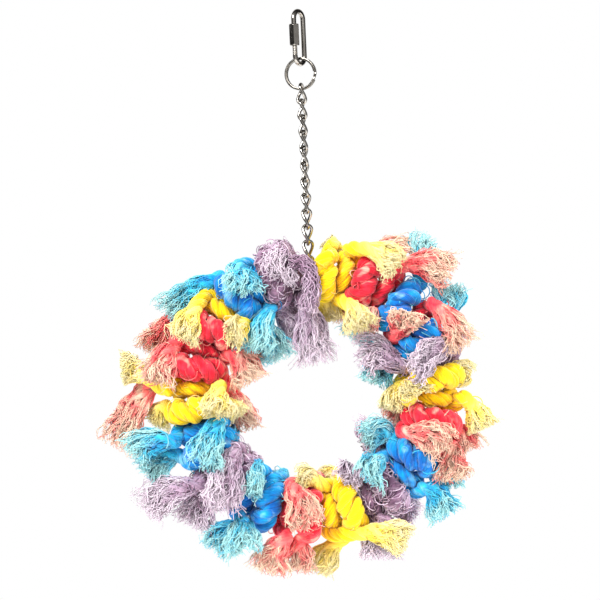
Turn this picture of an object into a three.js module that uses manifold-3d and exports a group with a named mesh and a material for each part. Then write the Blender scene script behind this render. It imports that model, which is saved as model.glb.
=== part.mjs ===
// Bird rope ring: a wire hoop dressed with knotted cotton rope pieces, hung on a
// twist-link chain, a split ring and a threaded quick link.
// Millimetres, +Z up, front towards -Y. The origin is the inside top of the quick link,
// where the cage bar lies.
import * as THREE from 'three';
import { mergeVertices } from 'three/addons/utils/BufferGeometryUtils.js';
import Module from 'manifold-3d';

const wasm = await Module();
wasm.setup();

// Quick link
const linkWireDia = 3.2;
const linkInnerLength = 29.6;
const linkInnerWidth = 6.8;
const linkYaw = 55;
const gateTop = -8.4;
const gateWidth = 4.2;

// Sleeve nut that closes the gate
const nutAcrossFlats = 5.8;
const nutLength = 13.4;
const nutTop = -6.6;
const nutChamfer = 0.5;

// Split ring
const ringInnerRadius = 8.7;
const ringWireWidth = 1.6;
const ringWireThickness = 1.2;
const ringCoilGap = 0.45;
const ringYaw = -20;
const ringStepAngle = -10;
const ringStepSpan = 26;
const ringEndGap = 0.5;

// Chain
const chainLinkCount = 12;
const chainWireDia = 2.0;
const chainInnerLength = 10.15;
const chainInnerWidth = 4.2;
const chainTwistEase = 0.08;

// Hoop
const hoopWireDia = 3.0;
const hoopRadius = 75;

// Rope pieces: an overhand knot round the hoop and two frayed tails
const ropeDia = 6.0;
const knotSlack = 1.8;
const knotStandoff = 2.8;
const knotHalfAngle = 90;
const knotHalfTurns = 3;
const firstKnotClock = 7.2;
const tuftNeckDia = 8;
const tuftDia = 13;
const tuftTipShare = 0.85;
const tailDroop = 7;
const tailReach = 11;

// Clearance between pieces that touch
const clearance = 0.35;

// Facets
const linkBendSteps = 8;
const linkSides = 8;
const boreSides = 12;
const ringSteps = 46;
const chainBendSteps = 6;
const chainLegSteps = 3;
const chainSides = 6;
const hoopSteps = 48;
const hoopSides = 6;
const strandSteps = 9;
const wrapSteps = 5;
const ropeSides = 5;
const tailParts = [0.3, 0.62, 0.9, 1];

// How finely a rope's gap to itself is measured, and from how many thicknesses along it
const gapSteps = 4;
const gapReach = 1.8;

// Rope pieces clockwise from the chain: colour, which way the knot faces (0 front, 180 back),
// then the tips of the outer and the inner tail, each as clock angle, distance outside the
// hoop's wire and distance in front of it.
const ropePieces = [
  ['yellow', 0, [10, 15, -11], [15, -28, -4]],
  ['yellow', 180, [35, 21, 23], [37, -24, 26]],
  ['red', 0, [35, 29, -10], [26, -22, -12]],
  ['red', 180, [50, 38, 9], [42, -22, 13]],
  ['blue', 0, [40, 44, -13], [41, -32, -10]],
  ['red', 180, [73, 20, 17], [54, 0, 29]],
  ['blue', 0, [54, 32, -7], [80, -36, 3]],
  ['purple', 180, [78, -10, 27], [55, -36, 12]],
  ['yellow', 0, [86, 19, -7], [104, -26, 4]],
  ['yellow', 180, [104, 32, 3], [90, -14, 24]],
  ['red', 0, [113, 26, -8], [110, -24, -12]],
  ['red', 180, [123, 25, 15], [113, 10, 28]],
  ['blue', 0, [128, 27, -6], [132, -33, 8]],
  ['blue', 180, [135, 35, 10], [148, -13, 25]],
  ['purple', 0, [145, 24, -10], [120, -34, -8]],
  ['purple', 180, [160, 33, 3], [160, -17, 16]],
  ['yellow', 0, [181, 37, -11], [174, -17, -14]],
  ['yellow', 180, [151, 32, 20], [192, -20, 14]],
  ['red', 0, [188, 35, -5], [187, -16, -13]],
  ['red', 180, [197, 37, 12], [187, 3, 28]],
  ['blue', 0, [215, 40, -8], [206, -9, -15]],
  ['blue', 180, [208, 29, 24], [215, -7, 26]],
  ['purple', 0, [226, 36, -8], [225, -8, -17]],
  ['purple', 180, [238, 49, 5], [224, 12, 32]],
  ['blue', 0, [246, 40, -5], [243, -11, -17]],
  ['blue', 180, [254, 42, 8], [241, 3, 31]],
  ['yellow', 0, [262, 27, -10], [256, -24, 8]],
  ['yellow', 180, [280, 46, 4], [262, -13, 26]],
  ['red', 0, [260, 52, -8], [248, -27, -8]],
  ['red', 180, [278, 24, 20], [284, -33, 9]],
  ['red', 0, [288, 31, -12], [299, -29, -7]],
  ['yellow', 180, [296, 12, 29], [308, -14, 29]],
  ['blue', 0, [302, 28, 1], [317, -42, -5]],
  ['blue', 180, [328, 4, 24], [311, -28, 16]],
  ['purple', 0, [342, 6, -14], [348, -38, -8]],
  ['purple', 180, [346, 4, 25], [4, -51, 5]],
];

const ropeColours = { yellow: 0xf2d023, red: 0xd8303a, blue: 0x1c8fc4, purple: 0xa88497 };

const degrees = Math.PI / 180;
const up = new THREE.Vector3(0, 0, 1);
const front = new THREE.Vector3(0, -1, 0);

// Places that follow from the sizes above
const linkWireRadius = linkWireDia / 2;
const linkBowRadius = linkInnerWidth / 2 + linkWireRadius;
const linkBottomZ = -linkInnerLength - linkWireRadius;
const ringRadius = ringInnerRadius + ringWireWidth / 2;
const ringStack = 2 * ringWireThickness + ringCoilGap;
const ringTopZ = linkBottomZ + linkBowRadius - bendRoom(linkBowRadius, linkBendSteps, linkWireRadius);
const ringCentreZ = ringTopZ - ringInnerRadius;
const chainWireRadius = chainWireDia / 2;
const chainBendRadius = (chainInnerWidth + chainWireDia) / 2;
const chainCentreLength = chainInnerLength + chainWireDia;
const chainPitch = chainInnerLength - clearance;
const firstLinkZ = ringCentreZ - ringInnerRadius + chainBendRadius
  - bendRoom(chainBendRadius, chainBendSteps, chainWireRadius);
const chainTwist = chainTwistAngle();
const hoopTopZ = firstLinkZ - (chainLinkCount - 1) * chainPitch - chainCentreLength
  + chainWireRadius + hoopWireDia / 2 + clearance;
const hoopCentreZ = hoopTopZ - hoopRadius;
const ropeRadius = ropeDia / 2;
const wrapRadius = hoopWireDia / 2 + clearance + ropeRadius;
const knotTwistRadius = ropeRadius + knotSlack / 2;
const knotArcRadius = wrapRadius + knotStandoff + knotTwistRadius;

// How far from a wire bend's centre the split ring's corners can lie in it
function bendRoom(bendRadius, bendSteps, wireRadius) {
  const innerBend = bendRadius * Math.cos(Math.PI / (2 * bendSteps)) - wireRadius - clearance;
  return Math.sqrt(innerBend ** 2 - (ringStack / 2) ** 2);
}

// Twist of one link, so that the first lies square to the ring and the last square to the hoop
function chainTwistAngle() {
  const quarterTurns = 90 * (chainLinkCount - 1) + 90 - (90 + ringYaw);
  return quarterTurns / chainLinkCount;
}

const steel = new THREE.MeshStandardMaterial({ color: 0xc4c6c8, roughness: 0.25, metalness: 1 });
const darkSteel = new THREE.MeshStandardMaterial({ color: 0x9a9a98, roughness: 0.35, metalness: 1 });
const galvanised = new THREE.MeshStandardMaterial({ color: 0xb0b2b4, roughness: 0.5, metalness: 1 });

// Closed or capped tube through a row of points, with its own radius at each point
function tubeGeometry(points, radii, sides, closed) {
  const frames = tubeFrames(points, closed);
  const positions = [];
  points.forEach((point, i) => {
    for (let side = 0; side < sides; side++) {
      const angle = (side / sides) * 2 * Math.PI + frames[i].roll;
      const corner = point.clone()
        .addScaledVector(frames[i].normal, radii[i] * Math.cos(angle))
        .addScaledVector(frames[i].binormal, radii[i] * Math.sin(angle));
      positions.push(corner.x, corner.y, corner.z);
    }
  });
  const index = [];
  const spans = closed ? points.length : points.length - 1;
  for (let i = 0; i < spans; i++) {
    const here = i * sides;
    const next = ((i + 1) % points.length) * sides;
    for (let side = 0; side < sides; side++) {
      const beside = (side + 1) % sides;
      index.push(here + side, here + beside, next + beside, here + side, next + beside, next + side);
    }
  }
  if (!closed) {
    const last = (points.length - 1) * sides;
    for (let side = 1; side < sides - 1; side++) {
      index.push(0, side + 1, side, last, last + side, last + side + 1);
    }
  }
  return indexedGeometry(positions, index);
}

function indexedGeometry(positions, index) {
  const geometry = new THREE.BufferGeometry();
  geometry.setAttribute('position', new THREE.Float32BufferAttribute(positions, 3));
  geometry.setIndex(index);
  geometry.computeVertexNormals();
  return geometry;
}

// Section directions carried along the points without spinning; a closed tube shares out the rest
function tubeFrames(points, closed) {
  const count = points.length;
  const tangents = points.map((point, i) => {
    const before = closed ? points[(i + count - 1) % count] : points[Math.max(i - 1, 0)];
    const after = closed ? points[(i + 1) % count] : points[Math.min(i + 1, count - 1)];
    return after.clone().sub(before).normalize();
  });
  const seed = Math.abs(tangents[0].z) < 0.9 ? up : front;
  let normal = seed.clone().cross(tangents[0]).normalize();
  const frames = tangents.map((tangent) => {
    normal = normal.clone().addScaledVector(tangent, -normal.dot(tangent)).normalize();
    return { normal, binormal: tangent.clone().cross(normal), roll: 0 };
  });
  if (closed) {
    const carried = normal.clone().addScaledVector(tangents[0], -normal.dot(tangents[0])).normalize();
    const miss = Math.atan2(carried.dot(frames[0].binormal), carried.dot(frames[0].normal));
    frames.forEach((frame, i) => { frame.roll = -miss * (i / count); });
  }
  return frames;
}

// Centre line of an oval wire in the XZ plane: from its left side over the top, clockwise
function ovalPoints(halfWidth, topZ, bottomZ, stepsPerBend, stepsPerLeg) {
  const points = [];
  const addBend = (centreZ, startAngle) => {
    for (let i = 0; i <= stepsPerBend; i++) {
      const angle = startAngle - (Math.PI * i) / stepsPerBend;
      points.push(new THREE.Vector3(halfWidth * Math.cos(angle), 0, centreZ + halfWidth * Math.sin(angle)));
    }
  };
  const addLeg = (x, fromZ, toZ) => {
    for (let i = 1; i < stepsPerLeg; i++) {
      points.push(new THREE.Vector3(x, 0, fromZ + ((toZ - fromZ) * i) / stepsPerLeg));
    }
  };
  const topCentre = topZ - halfWidth;
  const bottomCentre = bottomZ + halfWidth;
  addBend(topCentre, Math.PI);
  addLeg(halfWidth, topCentre, bottomCentre);
  addBend(bottomCentre, 0);
  addLeg(-halfWidth, bottomCentre, topCentre);
  return points;
}

function turned(point, angle) {
  return point.clone().applyAxisAngle(up, angle * degrees);
}

// Quick link wire: its two ends face each other across the gate, in the left leg
function quickLink() {
  const gateBottom = gateTop - gateWidth;
  const route = [
    new THREE.Vector3(-linkBowRadius, 0, gateTop),
    ...ovalPoints(linkBowRadius, linkWireRadius, linkBottomZ, linkBendSteps, 1),
    new THREE.Vector3(-linkBowRadius, 0, gateBottom),
  ].map((point) => turned(point, linkYaw));
  return tubeGeometry(route, route.map(() => linkWireRadius), linkSides, false);
}

function toSolid(geometry) {
  const bare = geometry.clone();
  bare.deleteAttribute('normal');
  bare.deleteAttribute('uv');
  const merged = mergeVertices(bare, 1e-4);
  return new wasm.Manifold(new wasm.Mesh({
    numProp: 3,
    vertProperties: new Float32Array(merged.attributes.position.array),
    triVerts: new Uint32Array(merged.index.array),
  }));
}

function fromSolid(solid) {
  const mesh = solid.getMesh();
  return indexedGeometry(Array.from(mesh.vertProperties), Array.from(mesh.triVerts));
}

// Hexagon sleeve, its corners turned off at both ends, bored to slide on the wire
function sleeveNut() {
  const cornerRadius = nutAcrossFlats / Math.sqrt(3);
  const barrelEnd = nutAcrossFlats / 2;
  const halfLength = nutLength / 2;
  const prism = new THREE.CylinderGeometry(cornerRadius, cornerRadius, nutLength, 6);
  const barrel = new THREE.LatheGeometry([
    new THREE.Vector2(0, -halfLength),
    new THREE.Vector2(barrelEnd, -halfLength),
    new THREE.Vector2(barrelEnd + nutChamfer, nutChamfer - halfLength),
    new THREE.Vector2(barrelEnd + nutChamfer, halfLength - nutChamfer),
    new THREE.Vector2(barrelEnd, halfLength),
    new THREE.Vector2(0, halfLength),
  ], boreSides);
  const boreRadius = (linkWireRadius + clearance) / Math.cos(Math.PI / boreSides);
  const bore = new THREE.CylinderGeometry(boreRadius, boreRadius, nutLength + 2, boreSides);
  const nut = fromSolid(toSolid(prism).intersect(toSolid(barrel)).subtract(toSolid(bore)));
  const centre = turned(new THREE.Vector3(-linkBowRadius, 0, nutTop - halfLength), linkYaw);
  nut.rotateX(Math.PI / 2);
  nut.translate(centre.x, centre.y, centre.z);
  return nut;
}

// Flat wire coiled twice, stepping from the front coil to the back one just below three o'clock
function splitRing() {
  const coilOffset = (ringWireThickness + ringCoilGap) / 2;
  const endMargin = ringStepSpan / 2 + (ringEndGap / ringRadius) / degrees;
  const sweep = 720 - 2 * endMargin;
  const positions = [];
  for (let i = 0; i <= ringSteps; i++) {
    const turn = endMargin + (sweep * i) / ringSteps;
    const angle = (ringStepAngle + turn) * degrees;
    const stepPart = THREE.MathUtils.clamp((turn - 360) / ringStepSpan + 0.5, 0, 1);
    const depth = coilOffset * (2 * stepPart - 1);
    const corners = [
      [ringInnerRadius, depth - ringWireThickness / 2],
      [ringInnerRadius, depth + ringWireThickness / 2],
      [ringInnerRadius + ringWireWidth, depth + ringWireThickness / 2],
      [ringInnerRadius + ringWireWidth, depth - ringWireThickness / 2],
    ];
    corners.forEach(([radius, y]) => {
      const z = ringCentreZ + radius * Math.sin(angle);
      const corner = turned(new THREE.Vector3(radius * Math.cos(angle), y, z), ringYaw);
      positions.push(corner.x, corner.y, corner.z);
    });
  }
  const index = [];
  for (let i = 0; i < ringSteps; i++) {
    for (let side = 0; side < 4; side++) {
      const a = i * 4 + side;
      const b = i * 4 + ((side + 1) % 4);
      index.push(a, b + 4, b, a, a + 4, b + 4);
    }
  }
  const last = ringSteps * 4;
  index.push(0, 1, 2, 0, 2, 3, last, last + 2, last + 1, last, last + 3, last + 2);
  return indexedGeometry(positions, index);
}

// One link of curb chain: an oval whose plane turns steadily from its top wire to its bottom wire
function chainLink(number) {
  const topZ = firstLinkZ - (number - 1) * chainPitch;
  const topYaw = 90 + ringYaw - (number - 1) * (90 - chainTwist);
  const bottomZ = topZ - chainCentreLength;
  const oval = ovalPoints(chainBendRadius, topZ, bottomZ, chainBendSteps, chainLegSteps);
  const route = oval.map((point) => {
    const down = (topZ - point.z) / chainCentreLength;
    const eased = down - chainTwistEase * Math.sin(2 * Math.PI * down);
    return turned(point, topYaw + chainTwist * eased);
  });
  return tubeGeometry(route, route.map(() => chainWireRadius), chainSides, true);
}

function hoop() {
  const ring = new THREE.TorusGeometry(hoopRadius, hoopWireDia / 2, hoopSides, hoopSteps);
  ring.rotateX(Math.PI / 2);
  ring.translate(0, 0, hoopCentreZ);
  return ring;
}

// Directions at one place on the hoop: outward, and clockwise along the wire
function hoopDirections(clock) {
  const outward = new THREE.Vector3(Math.sin(clock * degrees), 0, Math.cos(clock * degrees));
  const along = new THREE.Vector3(Math.cos(clock * degrees), 0, -Math.sin(clock * degrees));
  return { outward, along };
}

function hoopPlace(clock, outside, inFront) {
  return new THREE.Vector3(0, 0, hoopCentreZ)
    .addScaledVector(hoopDirections(clock).outward, hoopRadius + outside)
    .addScaledVector(front, inFront);
}

// Half of the overhand knot: one strand of the pair that twist round each other over the wire
function knotStrand(clock, facing, side) {
  const { outward, along } = hoopDirections(clock);
  const face = front.clone().applyAxisAngle(along, facing * degrees);
  const across = outward.clone().applyAxisAngle(along, facing * degrees);
  const points = [];
  for (let i = 0; i <= strandSteps; i++) {
    const part = i / strandSteps;
    const swing = side * knotHalfAngle * (1 - 2 * part) * degrees;
    const phase = knotHalfTurns * Math.PI * part;
    const radial = face.clone().multiplyScalar(Math.cos(swing)).addScaledVector(across, Math.sin(swing));
    points.push(hoopPlace(clock, 0, 0)
      .addScaledVector(radial, knotArcRadius - knotTwistRadius * Math.cos(phase))
      .addScaledVector(along, side * knotTwistRadius * Math.sin(phase)));
  }
  return points;
}

// The rope's bight behind the wire, from one side of the knot to the other
function knotWrap(clock, facing) {
  const { outward, along } = hoopDirections(clock);
  const face = front.clone().applyAxisAngle(along, facing * degrees);
  const across = outward.clone().applyAxisAngle(along, facing * degrees);
  const knotInner = knotArcRadius - knotTwistRadius;
  const points = [];
  for (let i = 1; i < wrapSteps; i++) {
    const swing = (knotHalfAngle + ((360 - 2 * knotHalfAngle) * i) / wrapSteps) * degrees;
    const spread = Math.abs((2 * i) / wrapSteps - 1);
    const distance = wrapRadius + (knotInner - wrapRadius) * spread ** 3;
    points.push(hoopPlace(clock, 0, 0)
      .addScaledVector(face, distance * Math.cos(swing))
      .addScaledVector(across, distance * Math.sin(swing)));
  }
  return points;
}

// A tail springs from the knot in the strand's own direction and droops to its tip
function ropeTail(strand, tip) {
  const start = strand[strand.length - 1];
  const heading = start.clone().sub(strand[strand.length - 2]).normalize();
  const leave = start.clone().addScaledVector(heading, tailReach);
  const arrive = tip.clone().lerp(start, 1 / 3).addScaledVector(up, tailDroop);
  const bend = new THREE.CubicBezierCurve3(start, leave, arrive, tip);
  return tailParts.map((part) => bend.getPoint(part));
}

// Route of one rope piece, tip to tip, and its radius at each point
function ropeRoute(clock, facing, outerTip, innerTip) {
  const [firstTip, secondTip] = facing === 0 ? [innerTip, outerTip] : [outerTip, innerTip];
  const firstStrand = knotStrand(clock, facing, 1);
  const secondStrand = knotStrand(clock, facing, -1);
  const points = [
    ...ropeTail(firstStrand, hoopPlace(...firstTip)).reverse(),
    ...firstStrand.reverse(),
    ...knotWrap(clock, facing),
    ...secondStrand,
    ...ropeTail(secondStrand, hoopPlace(...secondTip)),
  ];
  const tuftRadius = tuftDia / 2;
  const radii = points.map(() => ropeRadius);
  radii.splice(0, 3, tuftRadius * tuftTipShare, tuftRadius, tuftNeckDia / 2);
  radii.splice(-3, 3, tuftNeckDia / 2, tuftRadius, tuftRadius * tuftTipShare);
  return { points, radii };
}

function knotClock(number) {
  return firstKnotClock + ((number - 1) * (360 - 2 * firstKnotClock)) / (ropePieces.length - 1);
}

// Least gap between stretches of one tube that lie further apart along it than they are thick
function selfGap(points, radii) {
  let least = Infinity;
  const fine = [];
  let along = 0;
  for (let i = 1; i < points.length; i++) {
    const length = points[i].distanceTo(points[i - 1]);
    for (let step = 0; step < gapSteps; step++) {
      const part = step / gapSteps;
      const radius = THREE.MathUtils.lerp(radii[i - 1], radii[i], part);
      fine.push({ place: points[i - 1].clone().lerp(points[i], part), radius, along: along + length * part });
    }
    along += length;
  }
  fine.forEach((here, i) => {
    for (let j = i + 1; j < fine.length; j++) {
      const there = fine[j];
      const reach = here.radius + there.radius;
      if (there.along - here.along > gapReach * reach) {
        least = Math.min(least, here.place.distanceTo(there.place) - reach);
      }
    }
  });
  return least;
}

const twoDigits = (number) => String(number).padStart(2, '0');

function addMesh(parent, name, geometry, material) {
  const mesh = new THREE.Mesh(geometry, material);
  mesh.name = name;
  parent.add(mesh);
}

const toy = new THREE.Group();
addMesh(toy, 'quick_link', quickLink(), steel);
addMesh(toy, 'sleeve_nut', sleeveNut(), steel);
addMesh(toy, 'split_ring', splitRing(), darkSteel);
for (let number = 1; number <= chainLinkCount; number++) {
  addMesh(toy, `chain_link_${twoDigits(number)}`, chainLink(number), steel);
}
addMesh(toy, 'hoop', hoop(), galvanised);
let leastGap = Infinity;
ropePieces.forEach(([colour, facing, outerTip, innerTip], i) => {
  const cotton = new THREE.MeshStandardMaterial({ color: ropeColours[colour], roughness: 0.95, metalness: 0 });
  const { points, radii } = ropeRoute(knotClock(i + 1), facing, outerTip, innerTip);
  leastGap = Math.min(leastGap, selfGap(points, radii));
  addMesh(toy, `rope_${twoDigits(i + 1)}_${colour}`, tubeGeometry(points, radii, ropeSides, false), cotton);
});
console.log(`least gap of a rope piece to itself: ${leastGap.toFixed(2)} mm`);

export default toy;
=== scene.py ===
# Bird rope ring: knotted cotton rope on a wire hoop, hung on a twist-link chain
import bpy
import math
import numpy as np
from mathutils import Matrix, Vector


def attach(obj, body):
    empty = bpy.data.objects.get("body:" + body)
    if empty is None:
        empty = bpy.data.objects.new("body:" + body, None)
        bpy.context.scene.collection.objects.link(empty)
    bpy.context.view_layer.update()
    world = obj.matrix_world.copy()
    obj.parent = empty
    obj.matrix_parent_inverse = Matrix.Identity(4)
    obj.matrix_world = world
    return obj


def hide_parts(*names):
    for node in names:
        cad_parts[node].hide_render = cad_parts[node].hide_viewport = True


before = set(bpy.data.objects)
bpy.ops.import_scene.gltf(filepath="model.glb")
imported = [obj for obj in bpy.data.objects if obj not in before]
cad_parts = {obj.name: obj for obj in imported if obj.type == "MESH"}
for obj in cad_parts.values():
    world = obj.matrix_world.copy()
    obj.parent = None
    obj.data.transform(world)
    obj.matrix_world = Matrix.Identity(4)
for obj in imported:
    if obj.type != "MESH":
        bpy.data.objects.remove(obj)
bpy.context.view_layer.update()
mm = 0.001
rng = np.random.default_rng(7)
goldenAngle = 2.39996  # radians from yarn to yarn, which fills a round evenly


def intoScene(name, data):
    thing = bpy.data.objects.new(name, data)
    bpy.context.scene.collection.objects.link(thing)
    return thing


print("camera")

# The photographed toy hangs two and a half degrees off plumb, so the camera rolls instead
cameraSet = {"middle": (-6.5, -178.7), "distance": 1600, "frameWidth": 375, "roll": 2.49}


def makeCamera():
    data = bpy.data.cameras.new("camera")
    data.sensor_width = 36
    data.lens = data.sensor_width * cameraSet["distance"] / cameraSet["frameWidth"]
    camera = intoScene("camera", data)
    x, z = cameraSet["middle"]
    camera.location = (x * mm, -cameraSet["distance"] * mm, z * mm)
    camera.rotation_euler = (math.radians(90), math.radians(cameraSet["roll"]), 0)
    bpy.context.scene.camera = camera


makeCamera()

print("materials")


def linear(hexText):  # sRGB hex to the linear colour that Blender wants
    channels = [int(hexText[i:i + 2], 16) / 255 for i in (0, 2, 4)]
    return [c / 12.92 if c <= 0.04045 else ((c + 0.055) / 1.055) ** 2.4 for c in channels] + [1]


def addNode(tree, kind, settings=None, links=None):
    node = tree.nodes.new(kind)
    for name, value in (settings or {}).items():
        if isinstance(name, int) or name in node.inputs:
            node.inputs[name].default_value = value
        else:
            setattr(node, name, value)
    for name, source in (links or {}).items():
        tree.links.new(source, node.inputs[name])
    return node


def newMaterial(name):
    material = bpy.data.materials.new(name)
    material.use_nodes = True
    material.node_tree.nodes.clear()
    return material, material.node_tree


def setRamp(ramp, stops):
    elements = ramp.color_ramp.elements
    while len(elements) < len(stops):
        elements.new(0.5)
    for element, (place, colour) in zip(elements, stops):
        element.position = place
        element.color = linear(colour)


# Cotton rope, laid and hand dyed: matt, soft and fuzzy, with fine grooves between its yarns.
# The dye is strongest in the knots, runs out towards the cut ends, and left flecks where the rope
# was pressed. Gaps and crevices get painted shade in a dark shadow colour. Blotches are in mm
cottonDyes = {
    "yellow": {"shadow": "b4860a", "deep": "f6be00", "full": "ffe014", "thin": "fae27c", "bare": "fbecb4",
               "fleck": 0.10, "uneven": 0.45, "blotches": 20, "paleGaps": 1.0},
    "red": {"shadow": "a0162c", "deep": "c8142a", "full": "f23044", "thin": "f97b76", "bare": "fcd8bc",
            "fleck": 0.45, "uneven": 1.2, "blotches": 9, "paleGaps": 0.7},
    "blue": {"shadow": "04467e", "deep": "0662b8", "full": "0a96dc", "thin": "38c4e6", "bare": "b4ecec",
             "fleck": 0.35, "uneven": 0.9, "blotches": 13, "paleGaps": 0.55},
    "purple": {"shadow": "483049", "deep": "664860", "full": "9d7892", "thin": "c8abc2", "bare": "eddbe8",
               "fleck": 0.20, "uneven": 1.0, "blotches": 13, "paleGaps": 0.45},
}
dyeStops = {"deep": 0.0, "full": 0.22, "thin": 0.58, "bare": 0.95}  # from the knot to the cut end
# Sizes in mm and degrees. Real yarn is half as wide as the groove here, which has to show
cottonSet = {"flecks": 9, "groove": 1.1, "groovesAlong": 0.09, "grooveDepth": 0.9, "slant": 32,
             "grooveFade": 0.9, "roughness": 0.92, "sheen": 0.25, "crevice": 4.5}


def dyedCotton(colour):
    dye = cottonDyes[colour]
    material, tree = newMaterial(f"dyed cotton, {colour}")
    coords = addNode(tree, "ShaderNodeTexCoord")
    yarnPlace = addNode(tree, "ShaderNodeUVMap", {"uv_map": "yarn"})
    wash = addNode(tree, "ShaderNodeAttribute", {"attribute_name": "wash"})
    blotches = addNode(tree, "ShaderNodeTexNoise",
                       {"Scale": 1000 / dye["blotches"], "Detail": 2.0, "Roughness": 0.6},
                       {"Vector": coords.outputs["Object"]})
    uneven = addNode(tree, "ShaderNodeMath",
                     {"operation": "MULTIPLY_ADD", 1: dye["uneven"], 2: -dye["uneven"] / 2},
                     {0: blotches.outputs["Fac"]})
    strength = addNode(tree, "ShaderNodeMath", {"operation": "ADD", "use_clamp": True},
                       {0: wash.outputs["Fac"], 1: uneven.outputs[0]})
    ramp = addNode(tree, "ShaderNodeValToRGB", None, {"Fac": strength.outputs[0]})
    setRamp(ramp, [(place, dye[name]) for name, place in dyeStops.items()])
    fleckNoise = addNode(tree, "ShaderNodeTexNoise",
                         {"Scale": 1000 / cottonSet["flecks"], "Detail": 1.0, "Distortion": 0.6},
                         {"Vector": coords.outputs["Object"]})
    fleckEdge = addNode(tree, "ShaderNodeMapRange",
                        {"From Min": 0.60, "From Max": 0.72, "To Max": dye["fleck"]},
                        {"Value": fleckNoise.outputs["Fac"]})
    flecked = addNode(tree, "ShaderNodeMix", {"data_type": "RGBA", 7: linear(dye["bare"])},
                      {0: fleckEdge.outputs["Result"], 6: ramp.outputs["Color"]})
    slanted = addNode(tree, "ShaderNodeMapping",
                      {"Rotation": (0, 0, math.radians(cottonSet["slant"]))},
                      {"Vector": yarnPlace.outputs["UV"]})
    stretched = addNode(tree, "ShaderNodeMapping",
                        {"Scale": (1 / cottonSet["groove"], cottonSet["groovesAlong"], 1)},
                        {"Vector": slanted.outputs["Vector"]})
    grooves = addNode(tree, "ShaderNodeTexNoise",
                      {"noise_dimensions": "2D", "Scale": 1.0, "Detail": 3.0, "Roughness": 0.65},
                      {"Vector": stretched.outputs["Vector"]})
    grooveShade = addNode(tree, "ShaderNodeMapRange",
                          {"From Min": 0.35, "From Max": 0.65, "To Min": 0.66, "To Max": 1.24},
                          {"Value": grooves.outputs["Fac"]})
    # Painted shade: ambient occlusion turns the colour towards the dye's shadow colour in crevices
    crevice = addNode(tree, "ShaderNodeAmbientOcclusion",
                      {"samples": 5, "Distance": cottonSet["crevice"] * mm})
    openness = addNode(tree, "ShaderNodeMapRange", {"From Min": 0.0, "From Max": 0.52},
                       {"Value": crevice.outputs["AO"]})
    gapShade = addNode(tree, "ShaderNodeMath",  # painted shade is lighter in the gaps between bare yarns
                       {"operation": "MULTIPLY_ADD", "use_clamp": True, 1: dye["paleGaps"]},
                       {0: wash.outputs["Fac"], 2: openness.outputs["Result"]})
    paintedShade = addNode(tree, "ShaderNodeMix", {"data_type": "RGBA", 6: linear(dye["shadow"])},
                     {0: gapShade.outputs[0], 7: flecked.outputs[2]})
    grooveShare = addNode(tree, "ShaderNodeMath",  # loose yarns hardly have grooves
                          {"operation": "MULTIPLY_ADD", "use_clamp": True,
                           1: -cottonSet["grooveFade"], 2: 1.0},
                          {0: wash.outputs["Fac"]})
    shaded = addNode(tree, "ShaderNodeMix", {"data_type": "RGBA", "blend_type": "MULTIPLY"},
                     {0: grooveShare.outputs[0], 6: paintedShade.outputs[2], 7: grooveShade.outputs["Result"]})
    bump = addNode(tree, "ShaderNodeBump", {"Strength": 0.9, "Distance": cottonSet["grooveDepth"] * mm},
                   {"Height": grooves.outputs["Fac"]})
    cotton = addNode(tree, "ShaderNodeBsdfPrincipled",
                     {"Roughness": cottonSet["roughness"], "IOR": 1.45, "Specular IOR Level": 0.2,
                      "Sheen Weight": cottonSet["sheen"], "Sheen Roughness": 0.5},
                     {"Base Color": shaded.outputs[2], "Normal": bump.outputs["Normal"]})
    addNode(tree, "ShaderNodeOutputMaterial", None, {"Surface": cotton.outputs[0]})
    return material


# Nickel-plated steel, tumbled: bright and slightly warm, softly blurred by fine polishing marks
nickelSet = {"colour": "b9b4ac", "roughness": 0.16, "polish": 0.6, "wear": 7}
# Spring steel, plated: a darker colour than the links
ringSteelSet = {"colour": "8f8a82", "roughness": 0.2, "polish": 0.6, "wear": 6}
# Zinc-plated wire: greyer and duller than nickel, with a faint mottled grain
zincSet = {"colour": "a9adb0", "roughness": 0.38, "polish": 1.2, "wear": 5}
# Polish, wear and the marks' depth are in mm. Wear varies the colour from its own to a darker one,
# and the roughness between two shares of its own
markSet = {"depth": 0.2, "strength": 0.12, "darker": 0.86, "rough": (0.7, 1.6)}


def platedSteel(name, look):
    material, tree = newMaterial(name)
    coords = addNode(tree, "ShaderNodeTexCoord")
    wear = addNode(tree, "ShaderNodeTexNoise", {"Scale": 1000 / look["wear"], "Detail": 3.0},
                   {"Vector": coords.outputs["Object"]})
    smoothest, roughest = [look["roughness"] * share for share in markSet["rough"]]
    rough = addNode(tree, "ShaderNodeMapRange",
                    {"From Min": 0.35, "From Max": 0.7, "To Min": smoothest, "To Max": roughest},
                    {"Value": wear.outputs["Fac"]})
    marks = addNode(tree, "ShaderNodeTexNoise", {"Scale": 1000 / look["polish"], "Detail": 2.0},
                    {"Vector": coords.outputs["Object"]})
    bump = addNode(tree, "ShaderNodeBump",
                   {"Strength": markSet["strength"], "Distance": markSet["depth"] * mm},
                   {"Height": marks.outputs["Fac"]})
    tint = addNode(tree, "ShaderNodeValToRGB", None, {"Fac": wear.outputs["Fac"]})
    base = look["colour"]
    darker = "".join(f"{int(int(base[i:i + 2], 16) * markSet['darker']):02x}" for i in (0, 2, 4))
    setRamp(tint, [(0.3, darker), (0.62, base)])
    metal = addNode(tree, "ShaderNodeBsdfPrincipled", {"Metallic": 1.0},
                    {"Base Color": tint.outputs["Color"], "Roughness": rough.outputs["Result"],
                     "Normal": bump.outputs["Normal"]})
    addNode(tree, "ShaderNodeOutputMaterial", None, {"Surface": metal.outputs[0]})
    return material


cottons = {colour: dyedCotton(colour) for colour in cottonDyes}
nickel = platedSteel("nickel-plated steel", nickelSet)
ringSteel = platedSteel("plated spring steel, darker than the links", ringSteelSet)
zinc = platedSteel("zinc-plated steel wire", zincSet)

print("meshes from rows of points")


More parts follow.
